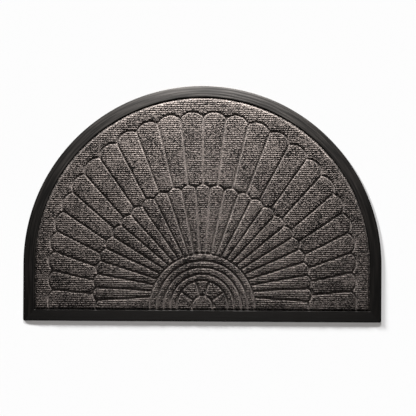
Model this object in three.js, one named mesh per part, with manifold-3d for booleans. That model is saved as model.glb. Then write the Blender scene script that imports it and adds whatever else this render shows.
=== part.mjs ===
// A half round entrance doormat, lying flat, in millimetres.
// X runs along the straight edge, +Y points to the arch and +Z up.
// The origin is on the underside, at the middle of the mat's outline box.
//
// It is two pieces: a black rubber base, moulded in one with its raised border, and a
// needle punched carpet that fills the well inside the border. A shell fan is pressed
// into the carpet: two rows of petals spread from a hub of nested rings. What the press
// leaves standing are the pads, and between them the carpet is a thinner slab.

import * as THREE from 'three';
import { mergeVertices } from 'three/addons/utils/BufferGeometryUtils.js';
import Module from 'manifold-3d';

// Outline: a half disc on a short straight sided strip
const WIDTH = 914;
const ARCH_RADIUS = WIDTH / 2;
const STRAIGHT_SIDE = 145;
const DEPTH = STRAIGHT_SIDE + ARCH_RADIUS;
const CORNER_RADIUS = 4;
const INNER_CORNER_RADIUS = 1;
const FRONT_Y = -DEPTH / 2;
const ARCH_CENTRE = new THREE.Vector2(0, FRONT_Y + STRAIGHT_SIDE);

// Rubber base: a backing sheet, and a border that rises from a thin outer edge to its
// highest place beside the carpet's well, most of it at an even slope and the rest a swell
const BACKING_THICKNESS = 2.6;
const BORDER_WIDTH = 28.6;
const EDGE_THICKNESS = 1.5;
const BORDER_TOP = 7.1;
const EVEN_SLOPE_SHARE = 0.7;
const BORDER_STEPS = 6;
const LIP_ROUND = 1;

// Carpet: it lies a hair above the backing, with a narrow channel between it and the border,
// and its edge is pressed down into a thin flange
const FIT_GAP = 0.3;
const CHANNEL_WIDTH = 1.8;
const CARPET_TOP = 9.4;
const CARPET_INSET = BORDER_WIDTH + CHANNEL_WIDTH;
const CARPET_BOTTOM = BACKING_THICKNESS + FIT_GAP;
const FLANGE_WIDTH = 2.6;
const FLANGE_TOP = 4.4;
const FIELD_INSET = CARPET_INSET + FLANGE_WIDTH;
const FIELD_FRONT_Y = FRONT_Y + FIELD_INSET;

// Pressed grooves between the pads: a narrow floor between two sloped walls
const GROOVE_DEPTH = 2.9;
const GROOVE_FLOOR_WIDTH = 1.8;
const GROOVE_WALL_RUN = 2.6;
const PAD_INSET = GROOVE_FLOOR_WIDTH / 2 + GROOVE_WALL_RUN;
const SLAB_TOP = CARPET_TOP - GROOVE_DEPTH;
const PAD_ROOT = 0.4;

// Fan: petals counted across the whole half circle, an even number, and the angle of each
const PETALS = 26;
const PETAL_ANGLE = THREE.MathUtils.degToRad(7);
const HUB = new THREE.Vector2(0, FRONT_Y + 40.9);
const TIP_LINE_RADIUS = ARCH_RADIUS - 65.5;
const TIP_RISE = 13.5;
const INNER_FAN = new THREE.Vector2(0, HUB.y + 31);
const INNER_TIP_RADIUS = 279;
const INNER_TIP_RISE = 9.5;

// Hub: nested ring grooves, and a small rosette of wedges inside the last of them
const RING_RADII = [133, 115.2, 98.4, 80.8, 64.6];
const ROSETTE_RADIUS = 26.5;
const ROSETTE_SIDE_ANGLE = THREE.MathUtils.degToRad(57);
const ROSETTE_TOP_ANGLE = THREE.MathUtils.degToRad(15);

// Largest distance between a true arc and its chords
const ARCH_TOLERANCE = 0.1;
const PATTERN_TOLERANCE = 0.2;

const wasm = await Module();
wasm.setup();

// Points of an arc, from one angle to another, with chords as long as the tolerance lets
// them be; their number is even, so that one point lies at the arc's crown
function arcPoints(centre, radius, from, to, tolerance) {
  const largestStep = 2 * Math.acos(1 - tolerance / radius);
  const steps = 2 * Math.ceil(Math.abs(to - from) / largestStep / 2);
  const points = [];
  for (let step = 0; step <= steps; step += 1) {
    const angle = from + ((to - from) * step) / steps;
    const x = centre.x + radius * Math.cos(angle);
    const y = centre.y + radius * Math.sin(angle);
    points.push(new THREE.Vector2(x, y));
  }
  return points;
}

// The straight sides and the arch of the mat's outline, moved inwards by an inset, from the
// right front corner to the left one
function sidesAndArch(inset) {
  const half = ARCH_RADIUS - inset;
  const front = FRONT_Y + inset;
  const arch = arcPoints(ARCH_CENTRE, half, 0, Math.PI, ARCH_TOLERANCE);
  return [new THREE.Vector2(half, front), ...arch, new THREE.Vector2(-half, front)];
}

// The same outline with its front corners rounded, closed along the front; every inset gives
// the same number of points, because they are laid out on the outermost outline
function roundedOutline(inset) {
  const cornerRadius = Math.max(CORNER_RADIUS - inset, INNER_CORNER_RADIUS);
  const archSteps = sidesAndArch(0).length - 3;
  const cornerSteps = 4;
  const half = ARCH_RADIUS - inset;
  const corner = new THREE.Vector2(half - cornerRadius, FRONT_Y + inset + cornerRadius);
  const points = [];
  for (let step = 0; step <= cornerSteps; step += 1) {
    const angle = ((step / cornerSteps - 1) * Math.PI) / 2;
    points.push(new THREE.Vector2(Math.cos(angle), Math.sin(angle)).multiplyScalar(cornerRadius).add(corner));
  }
  for (let step = 0; step <= archSteps; step += 1) {
    const angle = (step / archSteps) * Math.PI;
    points.push(new THREE.Vector2(Math.cos(angle), Math.sin(angle)).multiplyScalar(half).add(ARCH_CENTRE));
  }
  for (let step = 0; step <= cornerSteps; step += 1) {
    const angle = Math.PI + ((step / cornerSteps) * Math.PI) / 2;
    const turned = new THREE.Vector2(Math.cos(angle), Math.sin(angle)).multiplyScalar(cornerRadius);
    points.push(turned.add(new THREE.Vector2(-corner.x, corner.y)));
  }
  return points;
}

// The rubber base: its section, from the middle of the underside out, up, over the border
// and down into the well, is turned once round and laid along the mat's outline
function rubberBase() {
  const crownInset = BORDER_WIDTH - LIP_ROUND;
  const section = [new THREE.Vector2(0, 0)];
  for (let step = 0; step <= BORDER_STEPS; step += 1) {
    const share = step / BORDER_STEPS;
    const swell = 1 - (1 - share) ** 2;
    const climb = EVEN_SLOPE_SHARE * share + (1 - EVEN_SLOPE_SHARE) * swell;
    const height = EDGE_THICKNESS + (BORDER_TOP - EDGE_THICKNESS) * climb;
    section.push(new THREE.Vector2(share * crownInset, height));
  }
  section.push(new THREE.Vector2(BORDER_WIDTH, BORDER_TOP - LIP_ROUND));
  section.push(new THREE.Vector2(BORDER_WIDTH, BACKING_THICKNESS));
  const outlines = section.map((point) => roundedOutline(point.x));
  const sides = outlines[0].length;
  const lathePoints = section.map((point) => new THREE.Vector2(ARCH_RADIUS - point.x, point.y));
  lathePoints.unshift(new THREE.Vector2(0, 0));
  lathePoints.push(new THREE.Vector2(0, BACKING_THICKNESS));
  const geometry = new THREE.LatheGeometry(lathePoints, sides);
  const position = geometry.attributes.position;
  for (let vertex = 0; vertex < position.count; vertex += 1) {
    const side = Math.floor(vertex / lathePoints.length) % sides;
    const row = vertex % lathePoints.length;
    const height = lathePoints[row].y;
    const isMiddle = row === 0 || row === lathePoints.length - 1;
    const place = isMiddle ? ARCH_CENTRE : outlines[row - 1][side];
    position.setXYZ(vertex, place.x, place.y, height);
  }
  return toGeometry(toSolid(geometry));
}

// A closed three.js geometry as a solid for joining and cutting
function toSolid(geometry) {
  geometry.deleteAttribute('normal');
  geometry.deleteAttribute('uv');
  const merged = mergeVertices(geometry);
  const vertProperties = new Float32Array(merged.attributes.position.array);
  const triVerts = new Uint32Array(merged.index.array);
  return new wasm.Manifold(new wasm.Mesh({ numProp: 3, vertProperties, triVerts }));
}

// A solid back as a flat shaded three.js geometry
function toGeometry(solid) {
  const { vertProperties, triVerts } = solid.getMesh();
  const geometry = new THREE.BufferGeometry();
  geometry.setAttribute('position', new THREE.BufferAttribute(vertProperties, 3));
  geometry.setIndex(new THREE.BufferAttribute(triVerts, 1));
  geometry.computeVertexNormals();
  return geometry;
}

// Where two lines meet, each given by a point and a direction
function meeting(first, second) {
  const turn = first.direction.cross(second.direction);
  if (Math.abs(turn) < 1e-6) {
    return second.point.clone();
  }
  const along = second.point.clone().sub(first.point).cross(second.direction) / turn;
  return first.point.clone().addScaledVector(first.direction, along);
}

// A counter-clockwise outline moved inwards; a side that shrinks away to nothing is left out
function insetOutline(points, distance) {
  let lines = points.map((point, index) => {
    const direction = points[(index + 1) % points.length].clone().sub(point).normalize();
    const inward = new THREE.Vector2(-direction.y, direction.x);
    return { point: point.clone().addScaledVector(inward, distance), direction };
  });
  let corners = [];
  let count = 0;
  while (lines.length !== count) {
    count = lines.length;
    corners = lines.map((line, index) => meeting(lines[(index + count - 1) % count], line));
    lines = lines.filter((line, index) => {
      const side = corners[(index + 1) % count].clone().sub(corners[index]);
      return side.dot(line.direction) > 0;
    });
  }
  return corners;
}

// One pad: upright where it grows out of the slab, then sloped in to its flat top; its
// foot narrows the same way and stays inside the slab
function pad(outline) {
  const top = new THREE.Shape(insetOutline(outline, PAD_INSET));
  const geometry = new THREE.ExtrudeGeometry(top, {
    depth: PAD_ROOT,
    bevelEnabled: true,
    bevelThickness: GROOVE_DEPTH,
    bevelSize: GROOVE_WALL_RUN,
    bevelSegments: 1,
  });
  geometry.translate(0, 0, SLAB_TOP - PAD_ROOT);
  return toSolid(geometry);
}

// A point at a distance from a centre, at an angle turned clockwise from straight up
function fanPoint(centre, angle, distance) {
  return new THREE.Vector2(centre.x + distance * Math.sin(angle), centre.y + distance * Math.cos(angle));
}

// How far along a fan ray a circle about another centre on the mat's middle line lies
function rayToCircle(origin, angle, circleCentre, radius) {
  const lift = origin.y - circleCentre.y;
  const half = lift * Math.cos(angle);
  return -half + Math.sqrt(half * half - lift * lift + radius * radius);
}

// How far along a ray from the hub the line of petal tips lies: a circle with the arch's
// centre, carried on straight down below it
function rayToTipLine(angle) {
  const toCircle = rayToCircle(HUB, angle, ARCH_CENTRE, TIP_LINE_RADIUS);
  if (fanPoint(HUB, angle, toCircle).y >= ARCH_CENTRE.y) {
    return toCircle;
  }
  return TIP_LINE_RADIUS / Math.abs(Math.sin(angle));
}

// The round tip from one valley over its crown to the next valley, left to right, as its
// rising half and its falling half
function tipArc(leftValley, crown, rightValley) {
  const a = crown.clone().sub(leftValley);
  const b = rightValley.clone().sub(leftValley);
  const twiceCross = 2 * a.cross(b);
  const toCentre = new THREE.Vector2(
    (b.y * a.lengthSq() - a.y * b.lengthSq()) / twiceCross,
    (a.x * b.lengthSq() - b.x * a.lengthSq()) / twiceCross,
  );
  const centre = leftValley.clone().add(toCentre);
  const radius = toCentre.length();
  const halves = [[leftValley, crown], [crown, rightValley]].map(([start, end]) => {
    const from = start.clone().sub(centre).angle();
    const turned = (from - end.clone().sub(centre).angle() + 2 * Math.PI) % (2 * Math.PI);
    return arcPoints(centre, radius, from, from - turned, PATTERN_TOLERANCE);
  });
  return { rising: halves[0], falling: halves[1] };
}

// The rays between the outer petals are counted from the middle one to the right. Each
// starts at the crown of an inner petal and ends in the valley between two outer tips
function innerCrown(ray) {
  const angle = ray * PETAL_ANGLE;
  return fanPoint(HUB, angle, rayToCircle(HUB, angle, INNER_FAN, INNER_TIP_RADIUS));
}

function outerCrown(petal) {
  const angle = (petal + 0.5) * PETAL_ANGLE;
  return fanPoint(HUB, angle, rayToTipLine(angle));
}

function outerValley(ray) {
  const angle = ray * PETAL_ANGLE;
  return fanPoint(HUB, angle, rayToTipLine(angle) - TIP_RISE);
}

// The inner fan's rays run halfway between the crowns of the inner petals beside them
function innerRayAngle(valley) {
  const left = innerCrown(valley).sub(INNER_FAN);
  const right = innerCrown(valley + 1).sub(INNER_FAN);
  return (Math.atan2(left.x, left.y) + Math.atan2(right.x, right.y)) / 2;
}

function innerValley(valley) {
  return fanPoint(INNER_FAN, innerRayAngle(valley), INNER_TIP_RADIUS - INNER_TIP_RISE);
}

function innerRayFoot(valley) {
  const angle = innerRayAngle(valley);
  return fanPoint(INNER_FAN, angle, rayToCircle(INNER_FAN, angle, HUB, RING_RADII[0]));
}

const LAST_PETAL = PETALS / 2 - 1;
const innerTips = [];
const outerTips = [];
for (let petal = 0; petal <= LAST_PETAL; petal += 1) {
  innerTips.push(tipArc(innerValley(petal - 1), innerCrown(petal), innerValley(petal)));
  outerTips.push(tipArc(outerValley(petal), outerCrown(petal), outerValley(petal + 1)));
}

// Where the outermost lines of the two rows of petals reach the front flange
const OUTER_ROW_END = new THREE.Vector2(outerCrown(LAST_PETAL).x, FIELD_FRONT_Y);
const INNER_ROW_END = new THREE.Vector2(
  (innerValley(LAST_PETAL).x + innerCrown(LAST_PETAL + 1).x) / 2,
  FIELD_FRONT_Y,
);

// An outline taken left to right over its top, without points that repeat, turned to run
// counter-clockwise
function padOutline(points) {
  const distinct = points.filter((point, index) => {
    const before = points[(index + points.length - 1) % points.length];
    return point.distanceTo(before) > 0.01;
  });
  return distinct.reverse();
}

function mirrored(outline) {
  return outline.map((point) => new THREE.Vector2(-point.x, point.y)).reverse();
}

// Points of a circle round the hub, from one angle right of straight up to another
function hubArc(radius, from, to) {
  return arcPoints(HUB, radius, Math.PI / 2 - from, Math.PI / 2 - to, PATTERN_TOLERANCE);
}

// The angle right of straight up at which a circle round the hub reaches the front edge
function frontAngle(radius) {
  return Math.PI / 2 + Math.asin((HUB.y - FIELD_FRONT_Y) / radius);
}

// Outer petals right of the middle; the last one stands on the carpet's front edge
function outerPetals() {
  const outlines = [];
  for (let petal = 0; petal < LAST_PETAL; petal += 1) {
    const top = [...outerTips[petal].rising, ...outerTips[petal].falling];
    const bottom = [...innerTips[petal].falling, ...innerTips[petal + 1].rising].reverse();
    outlines.push(padOutline([...top, ...bottom]));
  }
  const lastTop = outerTips[LAST_PETAL].rising;
  const lastBottom = innerTips[LAST_PETAL].falling.slice().reverse();
  outlines.push(padOutline([...lastTop, OUTER_ROW_END, INNER_ROW_END, ...lastBottom]));
  return outlines;
}

// Inner petals right of the middle one, and the low piece below the last ray
function innerPetals() {
  const outlines = [];
  for (let petal = 1; petal <= LAST_PETAL; petal += 1) {
    const top = [...innerTips[petal].rising, ...innerTips[petal].falling];
    const rightFoot = innerRayFoot(petal);
    const leftFoot = innerRayFoot(petal - 1);
    outlines.push(padOutline([...top, rightFoot, leftFoot]));
  }
  const lastFoot = innerRayFoot(LAST_PETAL);
  const footAngle = Math.atan2(lastFoot.x - HUB.x, lastFoot.y - HUB.y);
  const ring = hubArc(RING_RADII[0], frontAngle(RING_RADII[0]), footAngle);
  outlines.push(padOutline([innerValley(LAST_PETAL), INNER_ROW_END, ...ring]));
  return outlines;
}

function middleInnerPetal() {
  const { rising, falling } = innerTips[0];
  return padOutline([...rising, ...falling, innerRayFoot(0), innerRayFoot(-1)]);
}

// Wedges of the rosette right of the middle one
function rosetteWedges() {
  const outer = RING_RADII[RING_RADII.length - 1];
  const upper = [
    ...hubArc(outer, ROSETTE_TOP_ANGLE, ROSETTE_SIDE_ANGLE),
    ...hubArc(ROSETTE_RADIUS, ROSETTE_SIDE_ANGLE, ROSETTE_TOP_ANGLE),
  ];
  const lower = [
    ...hubArc(outer, ROSETTE_SIDE_ANGLE, frontAngle(outer)),
    ...hubArc(ROSETTE_RADIUS, frontAngle(ROSETTE_RADIUS), ROSETTE_SIDE_ANGLE),
  ];
  return [padOutline(upper), padOutline(lower)];
}

// Rings and the rosette's middle, which all stand astride the middle line
function hubPads() {
  const outlines = RING_RADII.slice(1).map((inner, index) => {
    const outer = RING_RADII[index];
    const over = hubArc(outer, -frontAngle(outer), frontAngle(outer));
    const under = hubArc(inner, frontAngle(inner), -frontAngle(inner));
    return padOutline([...over, ...under]);
  });
  const wedge = [
    ...hubArc(RING_RADII[RING_RADII.length - 1], -ROSETTE_TOP_ANGLE, ROSETTE_TOP_ANGLE),
    ...hubArc(ROSETTE_RADIUS, ROSETTE_TOP_ANGLE, -ROSETTE_TOP_ANGLE),
  ];
  const heart = hubArc(ROSETTE_RADIUS, -frontAngle(ROSETTE_RADIUS), frontAngle(ROSETTE_RADIUS));
  return [...outlines, padOutline(wedge), padOutline(heart)];
}

// The plain field between the outer tips and the border, from front edge to front edge
function field() {
  const wholeTips = outerTips.slice(0, LAST_PETAL).flatMap((tip) => [...tip.rising, ...tip.falling]);
  const innerRight = [...wholeTips, ...outerTips[LAST_PETAL].rising, OUTER_ROW_END];
  const innerLeft = innerRight.map((point) => new THREE.Vector2(-point.x, point.y)).reverse();
  const outer = sidesAndArch(FIELD_INSET).reverse();
  return padOutline([...outer, ...innerRight.reverse(), ...innerLeft.reverse()]);
}

// A flat plate of carpet, from the carpet's underside up
function plate(inset, top) {
  const geometry = new THREE.ExtrudeGeometry(new THREE.Shape(sidesAndArch(inset)), {
    depth: top - CARPET_BOTTOM,
    bevelEnabled: false,
  });
  geometry.translate(0, 0, CARPET_BOTTOM);
  return toSolid(geometry);
}

// The carpet: the plate that its flange is the edge of, the slab, and every pad on the slab
function carpet() {
  const rightHand = [...outerPetals(), ...innerPetals(), ...rosetteWedges()];
  const outlines = [field(), middleInnerPetal(), ...hubPads(), ...rightHand, ...rightHand.map(mirrored)];
  const body = plate(CARPET_INSET, FLANGE_TOP).add(plate(FIELD_INSET, SLAB_TOP));
  const whole = outlines.reduce((joined, outline) => joined.add(pad(outline)), body);
  return toGeometry(whole);
}

const rubberMaterial = new THREE.MeshStandardMaterial({ color: 0x2b2927, roughness: 0.55, metalness: 0 });
const carpetMaterial = new THREE.MeshStandardMaterial({ color: 0x5f5854, roughness: 1, metalness: 0 });

const rubberBaseMesh = new THREE.Mesh(rubberBase(), rubberMaterial);
rubberBaseMesh.name = 'rubber_base';

const carpetMesh = new THREE.Mesh(carpet(), carpetMaterial);
carpetMesh.name = 'carpet';

const doormat = new THREE.Group();
doormat.add(rubberBaseMesh, carpetMesh);

export default doormat;
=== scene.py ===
"""A half round entrance doormat: ribbed carpet with a pressed shell fan, in a rubber base.

The mat lies flat on a pale floor and is seen from straight above. The pieces are the
moulded rubber base, the carpet cloth with its grooves, and the pile that stands in ribs
on everything that the press left standing.
"""

import logging
import math
from dataclasses import dataclass, field
from enum import Enum
from typing import Iterable, Sequence

import bpy
import numpy as np
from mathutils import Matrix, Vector
from mathutils.geometry import delaunay_2d_cdt


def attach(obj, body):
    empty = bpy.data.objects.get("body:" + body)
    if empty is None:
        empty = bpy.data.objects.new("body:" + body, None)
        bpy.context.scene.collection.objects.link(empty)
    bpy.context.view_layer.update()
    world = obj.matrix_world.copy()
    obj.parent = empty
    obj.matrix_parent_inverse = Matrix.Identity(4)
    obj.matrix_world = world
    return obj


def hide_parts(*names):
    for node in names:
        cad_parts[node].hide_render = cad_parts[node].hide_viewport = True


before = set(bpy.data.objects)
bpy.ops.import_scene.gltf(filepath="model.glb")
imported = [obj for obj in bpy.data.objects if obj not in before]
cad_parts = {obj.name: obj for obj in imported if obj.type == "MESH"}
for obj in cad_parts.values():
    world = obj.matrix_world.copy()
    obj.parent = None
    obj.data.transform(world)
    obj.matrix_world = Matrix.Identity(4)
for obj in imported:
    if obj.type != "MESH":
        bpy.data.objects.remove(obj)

log = logging.getLogger("doormat")

MM = 0.001

Colour = tuple[float, float, float, float]
Place = tuple[float, float, float]


class Zone(Enum):
    """Parts of the carpet whose pile is one piece each."""

    FIELD = "field"
    OUTER_LEFT = "outer_petals_left"
    OUTER_RIGHT = "outer_petals_right"
    INNER_PETALS = "inner_petals"
    HUB = "hub"


class Reach(Enum):
    """What a light falls on."""

    FLOOR_ALONE = "INCLUDE"
    ALL_BUT_FLOOR = "EXCLUDE"


# Sizes and the fan's lines, in millimetres


@dataclass(frozen=True)
class MatOutline:
    """The mat's outline: a half disc on a short straight sided strip, in millimetres."""

    width: float = 914.0
    straight_side: float = 145.0
    corner_radius: float = 4.0
    inner_corner_radius: float = 1.0

    @property
    def arch_radius(self) -> float:
        """Radius of the arch."""
        return self.width / 2

    @property
    def front_y(self) -> float:
        """Y of the straight front edge, with the origin at the middle of the outline's box."""
        return -(self.straight_side + self.arch_radius) / 2

    @property
    def arch_y(self) -> float:
        """Y of the arch's centre."""
        return self.front_y + self.straight_side

    def edge_distance(self, x: np.ndarray, y: np.ndarray) -> np.ndarray:
        """How far inside the outline each point lies.

        Args:
            x: The points' x.
            y: The points' y.

        Returns:
            The distance to the nearest edge, negative outside.
        """
        from_side = self.arch_radius - np.abs(x)
        from_arch = self.arch_radius - np.hypot(x, y - self.arch_y)
        around = np.where(y > self.arch_y, from_arch, from_side)
        return np.minimum(around, y - self.front_y)

    def ring(self, inset: float, arch_steps: int, corner_steps: int) -> np.ndarray:
        """Points round the outline moved inwards, counter-clockwise from the right front corner.

        Args:
            inset: How far the outline is moved inwards.
            arch_steps: Sides of the arch.
            corner_steps: Sides of each front corner.

        Returns:
            The points, the same number for every inset.
        """
        radius = max(self.corner_radius - inset, self.inner_corner_radius)
        half = self.arch_radius - inset
        corner = np.array([half - radius, self.front_y + inset + radius])
        right = arc_points(corner, radius, -90, 0, corner_steps)
        arch = arc_points(np.array([0.0, self.arch_y]), half, 0, 180, arch_steps)
        left = arc_points(corner * (-1, 1), radius, 180, 270, corner_steps)
        return np.vstack([right, arch, left])

    def carpet_line(self, inset: float, spacing: float) -> np.ndarray:
        """Evenly spaced points of the outline moved inwards, with square front corners.

        Args:
            inset: How far the outline is moved inwards.
            spacing: Distance between neighbouring points.

        Returns:
            The points, counter-clockwise from the right front corner.
        """
        half = self.arch_radius - inset
        front = self.front_y + inset
        arch_steps = max(2, round(math.pi * half / spacing))
        arch = arc_points(np.array([0.0, self.arch_y]), half, 0, 180, arch_steps)
        bends = np.vstack([[half, front], arch, [-half, front], [half, front]])
        return evenly_spaced(bends, spacing)


def arc_points(centre: np.ndarray, radius: float, start: float, end: float, steps: int) -> np.ndarray:
    """Points of an arc.

    Args:
        centre: The arc's centre.
        radius: Its radius.
        start: Its first angle in degrees, counter-clockwise from +X.
        end: Its last angle.
        steps: Its number of sides.

    Returns:
        The points, one more than the sides.
    """
    angles = np.radians(np.linspace(start, end, steps + 1))
    return centre + radius * np.column_stack([np.cos(angles), np.sin(angles)])


def evenly_spaced(line: np.ndarray, spacing: float) -> np.ndarray:
    """A line's corners, with points between them at an even spacing.

    Args:
        line: The line's corners, in order.
        spacing: Largest distance between neighbours.

    Returns:
        The points, without the last corner.
    """
    parts = []
    for first, last in zip(line[:-1], line[1:]):
        steps = max(1, math.ceil(np.linalg.norm(last - first) / spacing))
        shares = np.arange(steps)[:, None] / steps
        parts.append(first + (last - first) * shares)
    return np.vstack(parts)


@dataclass(frozen=True)
class StraightGroove:
    """A groove pressed along a straight line."""

    start: np.ndarray
    end: np.ndarray

    def distance(self, points: np.ndarray) -> np.ndarray:
        """How far each point lies from the groove's middle line.

        Args:
            points: Points of the carpet.

        Returns:
            Their distances.
        """
        run = self.end - self.start
        share = np.clip(((points - self.start) @ run) / (run @ run), 0, 1)
        nearest = self.start + share[:, None] * run
        return np.linalg.norm(points - nearest, axis=1)

    def beside(self, offset: float, spacing: float) -> np.ndarray:
        """Points of the line beside the middle line.

        Args:
            offset: How far it lies to the left of the middle line.
            spacing: Distance between neighbouring points.

        Returns:
            The points.
        """
        run = self.end - self.start
        length = np.linalg.norm(run)
        across = np.array([-run[1], run[0]]) / length
        steps = max(1, round(length / spacing))
        shares = np.linspace(0, 1, steps + 1)[:, None]
        return self.start + shares * run + offset * across


@dataclass(frozen=True)
class RoundGroove:
    """A groove pressed along an arc, its angles in degrees counter-clockwise from +X."""

    centre: np.ndarray
    radius: float
    start: float
    end: float

    def distance(self, points: np.ndarray) -> np.ndarray:
        """How far each point lies from the groove's middle line.

        Args:
            points: Points of the carpet.

        Returns:
            Their distances.
        """
        across = points - self.centre
        angle = np.degrees(np.arctan2(across[:, 1], across[:, 0]))
        middle = (self.start + self.end) / 2
        half = abs(self.end - self.start) / 2
        turned = (angle - middle + 180) % 360 - 180
        on_arc = np.abs(np.hypot(across[:, 0], across[:, 1]) - self.radius)
        ends = arc_points(self.centre, self.radius, self.start, self.end, 1)
        to_ends = np.linalg.norm(points[:, None] - ends[None], axis=2).min(axis=1)
        return np.where(np.abs(turned) <= half, on_arc, to_ends)

    def beside(self, offset: float, spacing: float) -> np.ndarray:
        """Points of the arc beside the middle line.

        Args:
            offset: How much further out it lies than the middle line.
            spacing: Distance between neighbouring points.

        Returns:
            The points.
        """
        radius = self.radius + offset
        length = math.radians(abs(self.end - self.start)) * self.radius
        steps = max(2, round(length / spacing))
        return arc_points(self.centre, radius, self.start, self.end, steps)


Groove = StraightGroove | RoundGroove


@dataclass(frozen=True)
class ShellFan:
    """The pressed fan: two rows of petals round a hub of nested rings, in millimetres."""

    outline: MatOutline = MatOutline()
    carpet_inset: float = 30.4
    petals: int = 26
    petal_angle: float = 7.0
    hub_above_front: float = 40.9
    tip_line_inset: float = 65.5
    tip_rise: float = 13.5
    inner_fan_lift: float = 31.0
    inner_tip_radius: float = 279.0
    inner_tip_rise: float = 9.5
    ring_radii: tuple[float, ...] = (133.0, 115.2, 98.4, 80.8, 64.6)
    rosette_radius: float = 26.5
    rosette_angles: tuple[float, ...] = (57.0, 15.0, -15.0, -57.0)

    @property
    def hub(self) -> np.ndarray:
        """Centre of the rings and of the outer rays."""
        return np.array([0.0, self.outline.front_y + self.hub_above_front])

    @property
    def inner_centre(self) -> np.ndarray:
        """Centre of the inner petals' rays."""
        return self.hub + (0.0, self.inner_fan_lift)

    @property
    def front_y(self) -> float:
        """Y of the carpet's front edge."""
        return self.outline.front_y + self.carpet_inset

    @property
    def last_petal(self) -> int:
        """Number of the petal that stands on the front edge, counted from the middle."""
        return self.petals // 2 - 1

    def fan_point(self, centre: np.ndarray, angle: float, distance: float) -> np.ndarray:
        """A point at a distance from a centre, its angle in degrees right of straight up."""
        turn = math.radians(angle)
        return centre + distance * np.array([math.sin(turn), math.cos(turn)])

    def ray_to_circle(self, origin: np.ndarray, angle: float, centre: np.ndarray, radius: float) -> float:
        """How far along a ray a circle about another point of the middle line lies.

        Args:
            origin: Where the ray starts, on the middle line.
            angle: Its angle in degrees right of straight up.
            centre: The circle's centre, on the middle line too.
            radius: The circle's radius.

        Returns:
            The distance along the ray.
        """
        lift = origin[1] - centre[1]
        half = lift * math.cos(math.radians(angle))
        return -half + math.sqrt(half * half - lift * lift + radius * radius)

    def ray_to_tip_line(self, angle: float) -> float:
        """How far along a ray from the hub the line of the outer tips lies.

        Args:
            angle: The ray's angle in degrees right of straight up.

        Returns:
            The distance along the ray.
        """
        radius = self.outline.arch_radius - self.tip_line_inset
        arch_centre = np.array([0.0, self.outline.arch_y])
        to_circle = self.ray_to_circle(self.hub, angle, arch_centre, radius)
        if self.fan_point(self.hub, angle, to_circle)[1] >= self.outline.arch_y:
            return to_circle
        return radius / abs(math.sin(math.radians(angle)))

    def inner_crown(self, ray: float) -> np.ndarray:
        """Crown of an inner petal, where an outer ray starts.

        Args:
            ray: The ray's number, counted from the middle line to the right.

        Returns:
            The point.
        """
        angle = ray * self.petal_angle
        reach = self.ray_to_circle(self.hub, angle, self.inner_centre, self.inner_tip_radius)
        return self.fan_point(self.hub, angle, reach)

    def outer_crown(self, petal: float) -> np.ndarray:
        """Crown of an outer petal, by its number from the middle line to the right."""
        angle = (petal + 0.5) * self.petal_angle
        return self.fan_point(self.hub, angle, self.ray_to_tip_line(angle))

    def outer_valley(self, ray: float) -> np.ndarray:
        """Where an outer ray ends, between two tips, by its number."""
        angle = ray * self.petal_angle
        return self.fan_point(self.hub, angle, self.ray_to_tip_line(angle) - self.tip_rise)

    def inner_ray_angle(self, valley: int) -> float:
        """Angle of an inner ray, halfway between the crowns beside it.

        Args:
            valley: The number of the valley that it ends in.

        Returns:
            The angle in degrees right of straight up.
        """
        left = self.inner_crown(valley) - self.inner_centre
        right = self.inner_crown(valley + 1) - self.inner_centre
        return math.degrees(math.atan2(left[0], left[1]) + math.atan2(right[0], right[1])) / 2

    def inner_valley(self, valley: int) -> np.ndarray:
        """Where an inner ray ends, between two tips, by its number."""
        reach = self.inner_tip_radius - self.inner_tip_rise
        return self.fan_point(self.inner_centre, self.inner_ray_angle(valley), reach)

    def inner_foot(self, valley: int) -> np.ndarray:
        """Where an inner ray starts, on the outermost ring.

        Args:
            valley: The number of the valley that it ends in.

        Returns:
            The point.
        """
        angle = self.inner_ray_angle(valley)
        reach = self.ray_to_circle(self.inner_centre, angle, self.hub, self.ring_radii[0])
        return self.fan_point(self.inner_centre, angle, reach)

    def tip(self, left: np.ndarray, crown: np.ndarray, right: np.ndarray) -> RoundGroove:
        """The round tip from one valley over its crown to the next, left to right.

        Args:
            left: The valley on the left.
            crown: The tip's crown.
            right: The valley on the right.

        Returns:
            The groove round the tip.
        """
        a = crown - left
        b = right - left
        twice_cross = 2 * (a[0] * b[1] - a[1] * b[0])
        to_centre = np.array(
            [
                (b[1] * (a @ a) - a[1] * (b @ b)) / twice_cross,
                (a[0] * (b @ b) - b[0] * (a @ a)) / twice_cross,
            ]
        )
        centre = left + to_centre
        start = math.degrees(math.atan2(*(left - centre)[::-1]))
        end = math.degrees(math.atan2(*(right - centre)[::-1]))
        turned = (start - end) % 360
        return RoundGroove(centre, float(np.linalg.norm(to_centre)), start, start - turned)

    def outer_tip(self, petal: int) -> RoundGroove:
        """The round tip of an outer petal, by its number."""
        return self.tip(self.outer_valley(petal), self.outer_crown(petal), self.outer_valley(petal + 1))

    def inner_tip(self, ray: int) -> RoundGroove:
        """The round tip of the inner petal below an outer ray, by the ray's number."""
        return self.tip(self.inner_valley(ray - 1), self.inner_crown(ray), self.inner_valley(ray))

    def right_half(self) -> list[Groove]:
        """Every groove of the petals right of the middle line.

        Returns:
            The grooves, from the middle line to the front edge.
        """
        grooves: list[Groove] = []
        last = self.last_petal
        for petal in range(last + 1):
            if petal > 0:
                grooves.append(StraightGroove(self.inner_crown(petal), self.outer_valley(petal)))
                grooves.append(self.inner_tip(petal))
            grooves.append(StraightGroove(self.inner_foot(petal), self.inner_valley(petal)))
            outer = self.outer_tip(petal)
            if petal == last:
                crown = self.outer_crown(last)
                outer = self.cut_at(outer, crown)
                grooves.append(StraightGroove(crown, np.array([crown[0], self.front_y])))
            grooves.append(outer)
        valley = self.inner_valley(last)
        end_x = (valley[0] + self.inner_crown(last + 1)[0]) / 2
        grooves.append(StraightGroove(valley, np.array([end_x, self.front_y])))
        return grooves

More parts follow.
